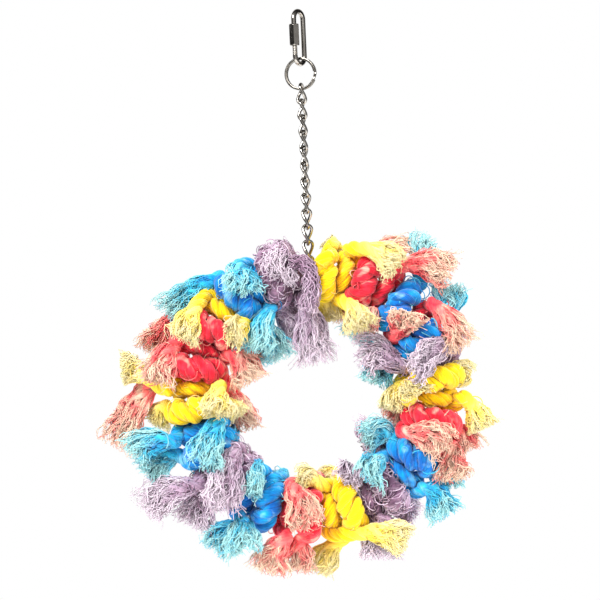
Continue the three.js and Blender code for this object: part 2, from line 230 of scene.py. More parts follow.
def carriedFrames(points, closed=False):
    # Section directions carried along rows of points without spinning; points is (rows, count, 3)
    if closed:
        tangents = np.roll(points, -1, axis=1) - np.roll(points, 1, axis=1)
    else:
        tangents = np.gradient(points, axis=1)
    tangents /= np.linalg.norm(tangents, axis=2, keepdims=True)
    normals = np.zeros_like(points)
    steep = np.abs(tangents[:, 0, 2:3]) > 0.9  # a row that starts upright needs another seed
    seed = np.where(steep, [[0.0, -1.0, 0.0]], [[0.0, 0.0, 1.0]])
    normal = np.cross(seed, tangents[:, 0])
    for i in range(points.shape[1]):
        normal = normal - tangents[:, i] * np.sum(normal * tangents[:, i], axis=1, keepdims=True)
        normal /= np.linalg.norm(normal, axis=1, keepdims=True)
        normals[:, i] = normal
    return tangents, normals, np.cross(tangents, normals)


def tubes(points, radii, sides, closed=False, wash=0.0):
    # Rows of points become tubes with flat ends: corners, faces, their yarn places and wash
    rows, count = points.shape[:2]
    tangents, normals, binormals = carriedFrames(points, closed)
    angles = np.arange(sides) / sides * 2 * math.pi
    roll = np.zeros((rows, count, 1))
    if closed:  # share out what the section turned by on its way round
        lean = np.sum(normals[:, -1] * tangents[:, 0], axis=1, keepdims=True)
        last = normals[:, -1] - tangents[:, 0] * lean
        miss = np.arctan2(np.sum(last * binormals[:, 0], axis=1), np.sum(last * normals[:, 0], axis=1))
        roll = -miss[:, None, None] * (np.arange(count) / count)[None, :, None]
    turned = angles[None, None, :] + roll
    radii = np.broadcast_to(radii, (rows, count))
    corners = (points[:, :, None, :]
               + radii[:, :, None, None] * (np.cos(turned)[..., None] * normals[:, :, None, :]
                                            + np.sin(turned)[..., None] * binormals[:, :, None, :]))
    spans = count if closed else count - 1
    row, span, side = np.meshgrid(np.arange(rows), np.arange(spans), np.arange(sides), indexing="ij")
    start = row * count * sides
    here, ahead = start + span * sides, start + ((span + 1) % count) * sides
    beside = (side + 1) % sides
    quads = np.stack([here + side, here + beside, ahead + beside, ahead + side], axis=-1).reshape(-1, 4)
    lastPoint = points[:, :1] if closed else points[:, -1:]
    steps = np.linalg.norm(np.diff(points, axis=1, append=lastPoint), axis=2)
    along = np.concatenate([np.zeros((rows, 1)), np.cumsum(steps, axis=1)], axis=1) / mm
    girth = 2 * math.pi * float(np.max(radii)) / mm
    around = side / sides * girth
    aroundNext = (side + 1) / sides * girth
    v0, v1 = along[row, span], along[row, span + 1]
    places = np.stack([np.stack([around, v0], -1), np.stack([aroundNext, v0], -1),
                       np.stack([aroundNext, v1], -1), np.stack([around, v1], -1)], axis=-2).reshape(-1, 2)
    washes = np.repeat(np.broadcast_to(wash, (rows, count))[:, :, None], sides, axis=2).reshape(-1)
    ends = np.zeros((0, sides), int)
    if not closed:
        starts = np.arange(rows)[:, None] * count * sides + np.arange(sides)[None, ::-1]
        tips = np.arange(rows)[:, None] * count * sides + (count - 1) * sides + np.arange(sides)[None, :]
        ends = np.concatenate([starts, tips])
    return {"corners": corners.reshape(-1, 3), "quads": quads, "ends": ends,
            "places": places, "wash": washes}


def makePiece(name, parts, material, body, replaced, smoothAngle=None):
    # One mesh from several sets of tubes, riding on a body in place of its CAD node
    offsets = np.cumsum([0] + [len(part["corners"]) for part in parts])
    faces, places = [], []
    for part, offset in zip(parts, offsets):
        faces += [part["quads"] + offset, part["ends"] + offset]
        places += [part["places"], np.zeros((part["ends"].size, 2))]
    corners = np.concatenate([part["corners"] for part in parts])
    loops = np.concatenate([face.reshape(-1) for face in faces])
    totals = np.concatenate([np.full(len(face), face.shape[1]) for face in faces])
    starts = np.concatenate([[0], np.cumsum(totals)[:-1]])
    mesh = bpy.data.meshes.new(name)
    mesh.vertices.add(len(corners))
    mesh.vertices.foreach_set("co", corners.astype(np.float32).reshape(-1))
    mesh.loops.add(len(loops))
    mesh.loops.foreach_set("vertex_index", loops.astype(np.int32))
    mesh.polygons.add(len(totals))
    mesh.polygons.foreach_set("loop_start", starts.astype(np.int32))
    mesh.update(calc_edges=True)
    yarn = mesh.uv_layers.new(name="yarn")
    yarn.data.foreach_set("uv", np.concatenate(places).astype(np.float32).reshape(-1))
    wash = mesh.attributes.new("wash", "FLOAT", "POINT")
    wash.data.foreach_set("value", np.concatenate([part["wash"] for part in parts]).astype(np.float32))
    mesh.polygons.foreach_set("use_smooth", np.ones(len(totals), bool))
    if smoothAngle:
        mesh.set_sharp_from_angle(angle=math.radians(smoothAngle))
    mesh.validate()
    mesh.materials.append(material)
    piece = intoScene(name, mesh)
    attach(piece, body)
    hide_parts(*replaced)


def turnAboutZ(points, degrees):
    turn = np.radians(degrees)
    x = points[..., 0] * np.cos(turn) - points[..., 1] * np.sin(turn)
    y = points[..., 0] * np.sin(turn) + points[..., 1] * np.cos(turn)
    return np.stack([x, y, points[..., 2]], axis=-1)


def ovalRoute(halfWidth, topZ, bottomZ, bendSteps, legSteps):
    # Centre line of an oval wire in the XZ plane, from its left side over the top, clockwise
    bend = np.linspace(0, math.pi, bendSteps + 1)
    leg = np.linspace(0, 1, legSteps + 1)[1:-1]
    high, low = topZ - halfWidth, bottomZ + halfWidth
    over = np.stack([-halfWidth * np.cos(bend), 0 * bend, high + halfWidth * np.sin(bend)], -1)
    down = np.stack([halfWidth + 0 * leg, 0 * leg, high + (low - high) * leg], -1)
    under = np.stack([halfWidth * np.cos(bend), 0 * bend, low - halfWidth * np.sin(bend)], -1)
    back = np.stack([-halfWidth + 0 * leg, 0 * leg, low + (high - low) * leg], -1)
    return np.concatenate([over, down, under, back])


print("quick link and sleeve nut")

# Sizes in mm and degrees. What hangs in a bend seats on the solid's bend, which has fewer steps
clearance = 0.35
linkSet = {"wire": 3.2, "innerLength": 29.6, "innerWidth": 6.8, "yaw": 55,
           "gateTop": -8.4, "gateWidth": 4.2, "turnedOff": 0.5,
           "threadPitch": 0.8, "threadDepth": 0.22, "threadAbove": 1.8, "threadEnd": -27.0,
           "solidBendSteps": 8, "sides": 28}
nutSet = {"acrossFlats": 5.8, "length": 13.4, "top": -6.6, "chamfer": 0.9, "rim": 0.12,
          "countersink": 0.45, "facets": 96}


def quickLinkWire():
    wireRadius = linkSet["wire"] / 2
    half = linkSet["innerWidth"] / 2 + wireRadius
    bottom = -linkSet["innerLength"] - wireRadius
    gateBottom = linkSet["gateTop"] - linkSet["gateWidth"]
    bendSteps, legSteps = 40, 24
    oval = ovalRoute(half, wireRadius, bottom, bendSteps, legSteps)[:2 * bendSteps + legSteps + 1]
    stepDown = 0.1  # mm, fine enough for the thread
    upper = np.arange(linkSet["gateTop"], wireRadius - half, stepDown)
    lower = np.arange(bottom + half + stepDown, gateBottom, stepDown)
    legAbove = np.stack([-half + 0 * upper, 0 * upper, upper], -1)
    legBelow = np.stack([-half + 0 * lower, 0 * lower, lower], -1)
    route = turnAboutZ(np.concatenate([legAbove, oval, legBelow]), linkSet["yaw"]) * mm
    z = np.concatenate([upper, np.full(len(oval), 50.0), lower])  # the far side counts as high up
    onThread = (z < linkSet["gateTop"] + linkSet["threadAbove"]) & (z > linkSet["threadEnd"])
    ridge = linkSet["threadDepth"] * (0.5 + 0.5 * np.cos(2 * math.pi * z / linkSet["threadPitch"]))
    radii = np.where(onThread, wireRadius - ridge, wireRadius)
    radii[[0, -1]] -= linkSet["turnedOff"]
    return tubes(route[None], radii[None] * mm, linkSet["sides"])


def sleeveNut():
    # Hexagon whose corners a cone turns off at both ends, so each flat ends in an arc
    facets, flat = nutSet["facets"], nutSet["acrossFlats"] / 2
    corner = flat / math.cos(math.pi / 6)
    angles = np.arange(facets) / facets * 2 * math.pi
    sector = (angles + math.pi / 6) % (math.pi / 3) - math.pi / 6
    hexagon = flat / np.cos(sector)
    depths = np.array([0.0, 0.1, 0.2, 0.32, 0.46, 0.62, 0.8, 1.0])
    length = nutSet["length"]
    zs = np.concatenate([depths, length - depths[::-1]])
    fromEnd = np.minimum(zs, length - zs)
    cone = flat + fromEnd / nutSet["chamfer"] * (corner - flat) * 1.05  # a little past the corners
    onFace = fromEnd[:, None] == 0
    outer = np.minimum(hexagon[None, :], cone[:, None] - nutSet["rim"] * onFace)
    countersink = nutSet["countersink"]
    bore = np.full(facets, linkSet["wire"] / 2 + clearance)
    rings = np.array([bore + countersink, *outer, bore + countersink, bore, bore])
    heights = np.array([zs[0], *zs, zs[-1], zs[-1] - countersink, zs[0] + countersink])
    half = linkSet["innerWidth"] / 2 + linkSet["wire"] / 2
    corners = np.stack([rings * np.cos(angles), rings * np.sin(angles),
                        np.broadcast_to(nutSet["top"] - heights[:, None], rings.shape)], -1)
    corners[..., 0] -= half
    corners = turnAboutZ(corners, linkSet["yaw"]) * mm
    count = len(rings)
    ring, side = np.meshgrid(np.arange(count), np.arange(facets), indexing="ij")
    ahead, beside = (ring + 1) % count, (side + 1) % facets
    quads = np.stack([ring * facets + side, ring * facets + beside,
                      ahead * facets + beside, ahead * facets + side], -1).reshape(-1, 4)[:, ::-1]
    return {"corners": corners.reshape(-1, 3), "quads": quads, "ends": np.zeros((0, 4), int),
            "places": np.zeros((quads.size, 2)), "wash": np.zeros(count * facets)}


makePiece("quick_link_wire", [quickLinkWire()], nickel, "quick_link", ["quick_link"])
makePiece("hex_sleeve_nut", [sleeveNut()], nickel, "sleeve_nut", ["sleeve_nut"], 25)

print("split ring")

ringSet = {"innerRadius": 8.7, "width": 1.6, "thickness": 1.2, "gap": 0.45, "yaw": -20,
           "stepAngle": -10, "stepSpan": 26, "endGap": 0.5, "rounding": 0.3,
           "steps": 240}  # mm and degrees


def bendRoom(bendRadius, bendSteps, wireRadius):
    # How far from a wire bend's centre the split ring's corners can lie in it
    inner = bendRadius * math.cos(math.pi / (2 * bendSteps)) - wireRadius - clearance
    stack = 2 * ringSet["thickness"] + ringSet["gap"]
    return math.sqrt(inner ** 2 - (stack / 2) ** 2)


linkBow = (linkSet["innerWidth"] + linkSet["wire"]) / 2
ringCentreZ = (-linkSet["innerLength"] - linkSet["wire"] / 2 + linkBow
               - bendRoom(linkBow, linkSet["solidBendSteps"], linkSet["wire"] / 2)
               - ringSet["innerRadius"])


def splitRing():
    offset = (ringSet["thickness"] + ringSet["gap"]) / 2
    ringRadius = ringSet["innerRadius"] + ringSet["width"] / 2
    margin = ringSet["stepSpan"] / 2 + math.degrees(ringSet["endGap"] / ringRadius)
    turns = np.linspace(margin, 720 - margin, ringSet["steps"])  # two coils
    angles = np.radians(ringSet["stepAngle"] + turns)
    part = np.clip((turns - 360) / ringSet["stepSpan"] + 0.5, 0, 1)
    depth = offset * (2 * part ** 2 * (3 - 2 * part) - 1)
    w, t, r = ringSet["width"] / 2, ringSet["thickness"] / 2, ringSet["rounding"]
    section = []
    for cx, cy, start in ((w - r, t - r, 0), (r - w, t - r, 90), (r - w, r - t, 180), (w - r, r - t, 270)):
        for turn in np.radians([start, start + 30, start + 60, start + 90]):
            section.append((cx + r * math.cos(turn), cy + r * math.sin(turn)))
    section = np.array(section)
    radius = ringRadius + section[None, :, 0]
    corners = np.stack([radius * np.cos(angles)[:, None], depth[:, None] + section[None, :, 1],
                        ringCentreZ + radius * np.sin(angles)[:, None]], -1)
    corners = turnAboutZ(corners, ringSet["yaw"]) * mm
    count, sides = corners.shape[:2]
    span, side = np.meshgrid(np.arange(count - 1), np.arange(sides), indexing="ij")
    beside = (side + 1) % sides
    quads = np.stack([span * sides + side, (span + 1) * sides + side,
                      (span + 1) * sides + beside, span * sides + beside], -1).reshape(-1, 4)[:, ::-1]
    ends = np.stack([np.arange(sides)[::-1], (count - 1) * sides + np.arange(sides)])[:, ::-1]
    return {"corners": corners.reshape(-1, 3), "quads": quads, "ends": ends,
            "places": np.zeros((quads.size, 2)), "wash": np.zeros(count * sides)}


makePiece("split_key_ring", [splitRing()], ringSteel, "split_ring", ["split_ring"], 40)

print("chain")

chainSet = {"links": 12, "wire": 2.0, "innerLength": 10.15, "innerWidth": 4.2, "twistEase": 0.08,
            "weld": 0.13, "weldLength": 1.1, "bendSteps": 28, "legSteps": 16, "sides": 18,
            "solidBendSteps": 6}  # mm
bendRadius = (chainSet["innerWidth"] + chainSet["wire"]) / 2
centreLength = chainSet["innerLength"] + chainSet["wire"]
chainPitch = chainSet["innerLength"] - clearance
firstLinkZ = (ringCentreZ - ringSet["innerRadius"] + bendRadius
              - bendRoom(bendRadius, chainSet["solidBendSteps"], chainSet["wire"] / 2))
# So much twist to each link that the last one's lower bow stands across the hoop
chainTwist = (90 * chainSet["links"] - 90 - ringSet["yaw"]) / chainSet["links"]


def chainLink(number):
    topZ = firstLinkZ - (number - 1) * chainPitch
    route = ovalRoute(bendRadius, topZ, topZ - centreLength, chainSet["bendSteps"], chainSet["legSteps"])
    down = (topZ - route[:, 2]) / centreLength
    eased = down - chainSet["twistEase"] * np.sin(2 * math.pi * down)
    turns = 90 + ringSet["yaw"] - (number - 1) * (90 - chainTwist) + chainTwist * eased
    onLeft = route[:, 0] < 0
    middle = topZ - centreLength / 2
    weld = chainSet["weld"] * np.exp(-((route[:, 2] - middle) / chainSet["weldLength"]) ** 2) * onLeft
    radii = chainSet["wire"] / 2 + weld
    return tubes((turnAboutZ(route, turns) * mm)[None], (radii * mm)[None], chainSet["sides"], closed=True)


for number in range(1, chainSet["links"] + 1):
    node = f"chain_link_{number:02d}"
    makePiece(f"twist_link_{number:02d}", [chainLink(number)], nickel, node, [node])

print("hoop")

hoopSet = {"wire": 3.0, "radius": 75, "weld": 0.5, "weldLength": 2.2, "steps": 240, "sides": 20}  # mm
hoopTopZ = (firstLinkZ - (chainSet["links"] - 1) * chainPitch - centreLength
            + chainSet["wire"] / 2 + hoopSet["wire"] / 2 + clearance)
hoopCentreZ = hoopTopZ - hoopSet["radius"]


def hoopWire():
    angles = np.arange(hoopSet["steps"]) / hoopSet["steps"] * 2 * math.pi
    route = np.stack([hoopSet["radius"] * np.sin(angles), 0 * angles,
                      hoopCentreZ + hoopSet["radius"] * np.cos(angles)], -1)
    fromWeld = hoopSet["radius"] * (angles - math.pi)
    radii = hoopSet["wire"] / 2 + hoopSet["weld"] * np.exp(-(fromWeld / hoopSet["weldLength"]) ** 2)
    return tubes((route * mm)[None], (radii * mm)[None], hoopSet["sides"], closed=True)


makePiece("welded_hoop", [hoopWire()], zinc, "hoop", ["hoop"])

print("rope ties")

# Knots as the solids have them: mm, degrees and half turns
knotSet = {"standoff": 2.8, "slack": 1.8, "solidDia": 6.0, "halfAngle": 90, "halfTurns": 3,
           "firstClock": 7.2, "droop": 7, "reach": 11,
           "strandPoints": 60, "tailPoints": 40, "bightPoints": 30}
# The laid rope, in mm. In a fray its strands part and thin out over the undone share, and end
# where the last share is left
layRope = {"strands": 3, "strandRadius": 3.0, "layRadius": 1.95, "lay": 26, "step": 0.9, "sides": 18,
           "undoneShare": 0.55, "lastShare": 0.45, "parting": 0.8, "thinning": 0.75,
           "swell": 0.05, "swellLength": 5.3}
# Frayed ends for each colour: the frayed share of the tail, the reach of the fan in mm, how much
# a strand swells in it, yarns to a strand, how uneven the cut is, the waves in mm, and how far
# a yarn is drawn to its lock
frays = {
    "yellow": {"share": 0.52, "fan": 4.8, "clump": 1.9, "yarns": 125,
               "ragged": 0.14, "wave": 0.7, "lock": 0.35},
    "red": {"share": 0.70, "fan": 5.6, "clump": 2.1, "yarns": 120,
            "ragged": 0.28, "wave": 1.3, "lock": 0.55},
    "blue": {"share": 0.74, "fan": 5.8, "clump": 2.1, "yarns": 125,
             "ragged": 0.25, "wave": 1.2, "lock": 0.55},
    "purple": {"share": 0.84, "fan": 6.4, "clump": 2.2, "yarns": 130,
               "ragged": 0.32, "wave": 1.5, "lock": 0.50},
}
# Yarns of the frays: they start inside the laid rope by the lead, and their lengths differ by cut
# times ragged. The fan leans towards the ring's plane and is squashed across it. Dye is how much
# a lock's or a yarn's own wash differs. The shell of a strand is paler than its core, which is
# painted shade inside the fan
yarnSet = {"radius": 0.35, "tip": 0.24, "thinFrom": 0.6, "steps": 14, "sides": 3, "lead": 5.0,
           "cut": (-1.2, 0.6), "opening": 0.7, "fullSway": 1.2,
           "strayShare": 0.08, "strayWave": 3.8, "waveLength": (7, 15),
           "locks": 9, "lockWave": 1.6, "lockLength": (14, 26), "droop": 1.6,
           "widen": 1.25, "squash": (0.45, 0.7), "squashSoon": 1.5, "lean": 0.45,
           "lockDye": 0.22, "yarnDye": 0.10, "paleShell": 0.20, "core": 0.6}  # mm and radians
# The wash at the cut end, and how much less it is down the fray and then along the rope, in mm
washSet = {"atTip": 0.98, "lessInFray": 0.58, "lessInRope": 0.30, "ropeLength": 18}
# Yarns pulled loose from the laid rope, curled: how many a tie, then the shape of a curl
looseYarns = {"yellow": 14, "red": 30, "blue": 36, "purple": 420}
curlSet = {"radius": (2.6, 5.5), "turn": (110, 250), "rise": (0.2, 1.1), "steps": 10, "lift": 1.0,
           "inFray": 0.6, "wash": (0.05, 0.75), "paler": 0.2}  # mm, degrees and radians

# The ties clockwise from the chain: colour, which way the knot faces (0 front, 180 back), then the
# tips of the outer and the inner tail as clock angle, distance outside the wire and in front of it
ropeTies = [
    ("yellow", 0, (10, 15, -11), (15, -28, -4)),
    ("yellow", 180, (35, 21, 23), (37, -24, 26)),
    ("red", 0, (35, 29, -10), (26, -22, -12)),
    ("red", 180, (50, 38, 9), (42, -22, 13)),
    ("blue", 0, (40, 44, -13), (41, -32, -10)),
    ("red", 180, (73, 20, 17), (54, 0, 29)),
    ("blue", 0, (54, 32, -7), (80, -36, 3)),
    ("purple", 180, (78, -10, 27), (55, -36, 12)),
    ("yellow", 0, (86, 19, -7), (104, -26, 4)),
    ("yellow", 180, (104, 32, 3), (90, -14, 24)),
    ("red", 0, (113, 26, -8), (110, -24, -12)),
    ("red", 180, (123, 25, 15), (113, 10, 28)),
    ("blue", 0, (128, 27, -6), (132, -33, 8)),
    ("blue", 180, (135, 35, 10), (148, -13, 25)),
    ("purple", 0, (145, 24, -10), (120, -34, -8)),
    ("purple", 180, (160, 33, 3), (160, -17, 16)),
    ("yellow", 0, (181, 37, -11), (174, -17, -14)),
    ("yellow", 180, (151, 32, 20), (192, -20, 14)),
    ("red", 0, (188, 35, -5), (187, -16, -13)),
    ("red", 180, (197, 37, 12), (187, 3, 28)),
    ("blue", 0, (215, 40, -8), (206, -9, -15)),
    ("blue", 180, (208, 29, 24), (215, -7, 26)),
    ("purple", 0, (226, 36, -8), (225, -8, -17)),
    ("purple", 180, (238, 49, 5), (224, 12, 32)),
    ("blue", 0, (246, 40, -5), (243, -11, -17)),
    ("blue", 180, (254, 42, 8), (241, 3, 31)),
    ("yellow", 0, (262, 27, -10), (256, -24, 8)),
    ("yellow", 180, (280, 46, 4), (262, -13, 26)),
    ("red", 0, (260, 52, -8), (248, -27, -8)),
    ("red", 180, (278, 24, 20), (284, -33, 9)),
    ("red", 0, (288, 31, -12), (299, -29, -7)),
    ("yellow", 180, (296, 12, 29), (308, -14, 29)),
    ("blue", 0, (302, 28, 1), (317, -42, -5)),
    ("blue", 180, (328, 4, 24), (311, -28, 16)),
    ("purple", 0, (342, 6, -14), (348, -38, -8)),
    ("purple", 180, (346, 4, 25), (4, -51, 5)),
]


def hoopPlace(clock, outside, inFront):
    turn = math.radians(clock)
    reach = hoopSet["radius"] + outside
    return np.array([reach * math.sin(turn), -inFront, hoopCentreZ + reach * math.cos(turn)])


def tieRoute(number, facing, outerTip, innerTip):
    # The rope's centre line in mm, tip to tip: tail, strand over the wire, bight behind, strand, tail
    clock = knotSet["firstClock"] + (number - 1) * (360 - 2 * knotSet["firstClock"]) / (len(ropeTies) - 1)
    turn = math.radians(clock)
    outward = np.array([math.sin(turn), 0, math.cos(turn)])
    along = np.array([math.cos(turn), 0, -math.sin(turn)])
    sign = 1 if facing == 0 else -1
    face, across = np.array([0, -sign, 0]), outward * sign
    solidRadius = knotSet["solidDia"] / 2
    wrapRadius = hoopSet["wire"] / 2 + clearance + solidRadius
    twistRadius = solidRadius + knotSet["slack"] / 2
    arcRadius = wrapRadius + knotSet["standoff"] + twistRadius
    centre = hoopPlace(clock, 0, 0)
    half = math.radians(knotSet["halfAngle"])

    def strand(side):
        part = np.linspace(0, 1, knotSet["strandPoints"])[:, None]
        swing = side * half * (1 - 2 * part)
        phase = knotSet["halfTurns"] * math.pi * part
        radial = face * np.cos(swing) + across * np.sin(swing)
        return (centre + radial * (arcRadius - twistRadius * np.cos(phase))
                + along * side * twistRadius * np.sin(phase))

    def tail(points, tip):
        heading = points[-1] - points[-2]
        heading /= np.linalg.norm(heading)
        end = hoopPlace(*tip)
        leave = points[-1] + heading * knotSet["reach"]
        arrive = end + (points[-1] - end) / 3 + np.array([0, 0, knotSet["droop"]])
        t = np.linspace(0, 1, knotSet["tailPoints"])[1:, None]
        return ((1 - t) ** 3 * points[-1] + 3 * (1 - t) ** 2 * t * leave
                + 3 * (1 - t) * t ** 2 * arrive + t ** 3 * end)

    swing = np.linspace(half, 2 * math.pi - half, knotSet["bightPoints"])[1:-1, None]
    spread = np.abs((swing - math.pi) / (math.pi - half))
    distance = wrapRadius + (arcRadius - twistRadius - wrapRadius) * spread ** 3
    wrap = centre + face * distance * np.cos(swing) + across * distance * np.sin(swing)
    first, second = strand(1), strand(-1)
    firstTip, secondTip = (innerTip, outerTip) if facing == 0 else (outerTip, innerTip)
    firstTail, secondTail = tail(first, firstTip), tail(second, secondTip)
    route = np.concatenate([firstTail[::-1], first[::-1], wrap, second, secondTail])
    tailLengths = [np.linalg.norm(np.diff(part, axis=0), axis=1).sum() for part in (firstTail, secondTail)]
    return evenlySpaced(route, layRope["step"]), tailLengths


def evenlySpaced(points, step):
    # Points a step apart, softly averaged over nine neighbours
    lengths = np.linalg.norm(np.diff(points, axis=0), axis=1)
    along = np.concatenate([[0], np.cumsum(lengths)])
    places = np.linspace(0, along[-1], int(along[-1] / step) + 1)
    even = np.stack([np.interp(places, along, points[:, k]) for k in range(3)], -1)
    kernel = np.exp(-np.linspace(-2, 2, 9) ** 2)
    kernel /= kernel.sum()
    padded = np.concatenate([2 * even[0] - even[4:0:-1], even, 2 * even[-1] - even[-2:-6:-1]])
    return np.stack([np.convolve(padded[:, k], kernel, "valid") for k in range(3)], -1)


def laidStrands(route, frames, frayLengths):
    # Three strands twisted round each other, thinning out where they come undone in the frays
    _, normals, binormals = frames
    count = len(route)
    along = np.arange(count) * layRope["step"]
    total = along[-1]
    fray = np.where(along < total / 2, *frayLengths)
    fromEnd = np.minimum(along, total - along)
    undone = np.clip((fray - fromEnd) / (fray * layRope["undoneShare"]), 0, 1)
    keep = fromEnd > fray * layRope["lastShare"]
    wash = washAt(fromEnd, fray)
    rows = []
    for strand in range(layRope["strands"]):
        turn = 2 * math.pi * (along / layRope["lay"] + strand / layRope["strands"])
        reach = layRope["layRadius"] * (1 + layRope["parting"] * undone)
        swell = 1 + layRope["swell"] * np.sin(along / layRope["swellLength"] + strand * 2.1)
        rows.append(route + (normals * np.cos(turn)[:, None] + binormals * np.sin(turn)[:, None])
                    * (reach * swell)[:, None])
    radii = layRope["strandRadius"] * (1 - layRope["thinning"] * undone ** 1.5)
    return tubes(np.stack(rows)[:, keep] * mm, radii[None, keep] * mm, layRope["sides"],
                 wash=wash[None, keep])


def washAt(fromEnd, fray):
    # 0 where the dye is strongest, in the knot, towards 1 at the bare ends
    inFray = washSet["atTip"] - washSet["lessInFray"] * np.clip(fromEnd / fray, 0, 1)
    return inFray - washSet["lessInRope"] * np.clip((fromEnd - fray) / washSet["ropeLength"], 0, 1)


def alongRoute(route, frames, place):
    # Points and section directions at places between the route's points, straight on past its ends
    tangents, normals, binormals = frames
    index = np.clip(place, 0, len(route) - 1)
    low = np.clip(np.floor(index).astype(int), 0, len(route) - 2)
    mixed = (index - low)[..., None]
    centre = route[low] * (1 - mixed) + route[low + 1] * mixed
    centre += tangents[low] * ((place - index) * layRope["step"])[..., None]
    normal = normals[low] * (1 - mixed) + normals[low + 1] * mixed
    binormal = binormals[low] * (1 - mixed) + binormals[low + 1] * mixed
    return centre, normal, binormal


def yarnsInLocks(look, strand, share, opened, out):
    # Each yarn's place in its strand, drawn to the nearest of the strand's locks; a lock sways as one
    strands, locks = layRope["strands"], yarnSet["locks"]
    offAngle = np.arange(len(strand)) * goldenAngle
    offReach = (layRope["strandRadius"] - yarnSet["radius"]) * np.sqrt(share)
    offU, offV = offReach * np.cos(offAngle), offReach * np.sin(offAngle)
    lockTurn = np.arange(locks) * goldenAngle + rng.uniform(0, 6.28, (strands, 1))
    lockReach = layRope["strandRadius"] * np.sqrt((np.arange(locks) + 0.5) / locks)
    lockU, lockV = (lockReach * np.cos(lockTurn))[strand], (lockReach * np.sin(lockTurn))[strand]
    lock = np.argmin((lockU - offU[:, None]) ** 2 + (lockV - offV[:, None]) ** 2, axis=1)
    yarn = np.arange(len(strand))
    drawn = look["lock"] * np.clip(opened, 0, 1)
    offU = offU[:, None] + (lockU[yarn, lock] - offU)[:, None] * drawn
    offV = offV[:, None] + (lockV[yarn, lock] - offV)[:, None] * drawn
    phase = rng.uniform(0, 2 * math.pi, (strands, locks, 2))[strand, lock]
    length = rng.uniform(*yarnSet["lockLength"], (strands, locks))[strand, lock][:, None]
    sway = yarnSet["lockWave"] * np.clip(opened, 0, yarnSet["fullSway"])
    swayU = sway * np.sin(2 * math.pi * out / length + phase[:, :1])
    swayV = sway * np.sin(2 * math.pi * out / length + phase[:, 1:])
    return lock, (offU, offV), (swayU, swayV)


def squashedFan(u, v, opened, rootNormal, rootBinormal):
    # A fan wider along the ring's plane than across it
    squash = rng.uniform(*yarnSet["squash"])
    lean = math.atan2(-rootNormal[1], rootBinormal[1]) + rng.uniform(-yarnSet["lean"], yarnSet["lean"])
    along = u * math.cos(lean) + v * math.sin(lean)
    across = -u * math.sin(lean) + v * math.cos(lean)
    along *= 1 + (yarnSet["widen"] - 1) * opened
    across *= 1 + (squash - 1) * np.clip(opened * yarnSet["squashSoon"], 0, 1)
    return (along * math.cos(lean) - across * math.sin(lean),
            along * math.sin(lean) + across * math.cos(lean))


def crimped(u, v, out, opened, look):
    # Every yarn waves a little, and the strays a lot
    stray = rng.uniform(0, 1, len(out)) < yarnSet["strayShare"]
    swayed = np.clip(opened, 0, yarnSet["fullSway"])
    wave = np.where(stray, yarnSet["strayWave"], look["wave"])[:, None] * swayed
    length = rng.uniform(*yarnSet["waveLength"], (len(out), 2))
    phase = rng.uniform(0, 2 * math.pi, (len(out), 2))
    return (u + wave * np.sin(2 * math.pi * out / length[:, :1] + phase[:, :1]),
            v + wave * np.sin(2 * math.pi * out / length[:, 1:] + phase[:, 1:]))


def frayedEnd(route, frames, fray, colour, atStart):
    # Yarns of the three strands, fanned out from where the laid rope comes undone
    look = frays[colour]
    strands = layRope["strands"]
    total = (len(route) - 1) * layRope["step"]
    count = look["yarns"] * strands
    strand = np.arange(count) % strands
    share = (np.arange(count) // strands + 0.5) / look["yarns"]
    t = np.linspace(0, 1, yarnSet["steps"])[None, :]
    cut = fray * (1 + look["ragged"] * rng.uniform(*yarnSet["cut"], count))[:, None]
    out = t * (cut + yarnSet["lead"]) - yarnSet["lead"]
    opened = np.clip(out / fray, 0, None) ** yarnSet["opening"]
    fromEnd = fray - out
    place = (fromEnd if atStart else total - fromEnd) / layRope["step"]
    centre, normal, binormal = alongRoute(route, frames, place)

    rootLength = fray if atStart else total - fray
    turn = 2 * math.pi * (rootLength / layRope["lay"] + strand / strands)[:, None]
    turn = turn + np.where(out < 0, (-out if atStart else out) / layRope["lay"] * 2 * math.pi, 0)
    strandReach = layRope["layRadius"] + (look["fan"] - layRope["layRadius"]) * opened
    clump = 1 + (look["clump"] - 1) * opened
    lock, (offU, offV), (swayU, swayV) = yarnsInLocks(look, strand, share, opened, out)
    u = strandReach * np.cos(turn) + offU * clump + swayU
    v = strandReach * np.sin(turn) + offV * clump + swayV
    root = int(np.clip(rootLength / layRope["step"], 0, len(route) - 1))
    u, v = squashedFan(u, v, opened, frames[1][root], frames[2][root])
    u, v = crimped(u, v, out, opened, look)
    rows = centre + normal * u[..., None] + binormal * v[..., None]
    rows[..., 2] -= yarnSet["droop"] * opened ** 2
    radii = np.interp(t, [0, yarnSet["thinFrom"], 1],
                      [yarnSet["radius"], yarnSet["radius"], yarnSet["tip"]])

    lockDye = rng.uniform(-yarnSet["lockDye"], yarnSet["lockDye"], (strands, yarnSet["locks"]))
    yarnDye = rng.uniform(-yarnSet["yarnDye"], yarnSet["yarnDye"], count)
    # The paler shell is painted shade: the yarns inside the fan are darker
    yarnDyeAndShade = lockDye[strand, lock] + yarnDye + yarnSet["paleShell"] * (share - yarnSet["core"])
    wash = washAt(fromEnd, fray) + yarnDyeAndShade[:, None]
    return tubes(rows * mm, radii * mm, yarnSet["sides"], wash=wash)


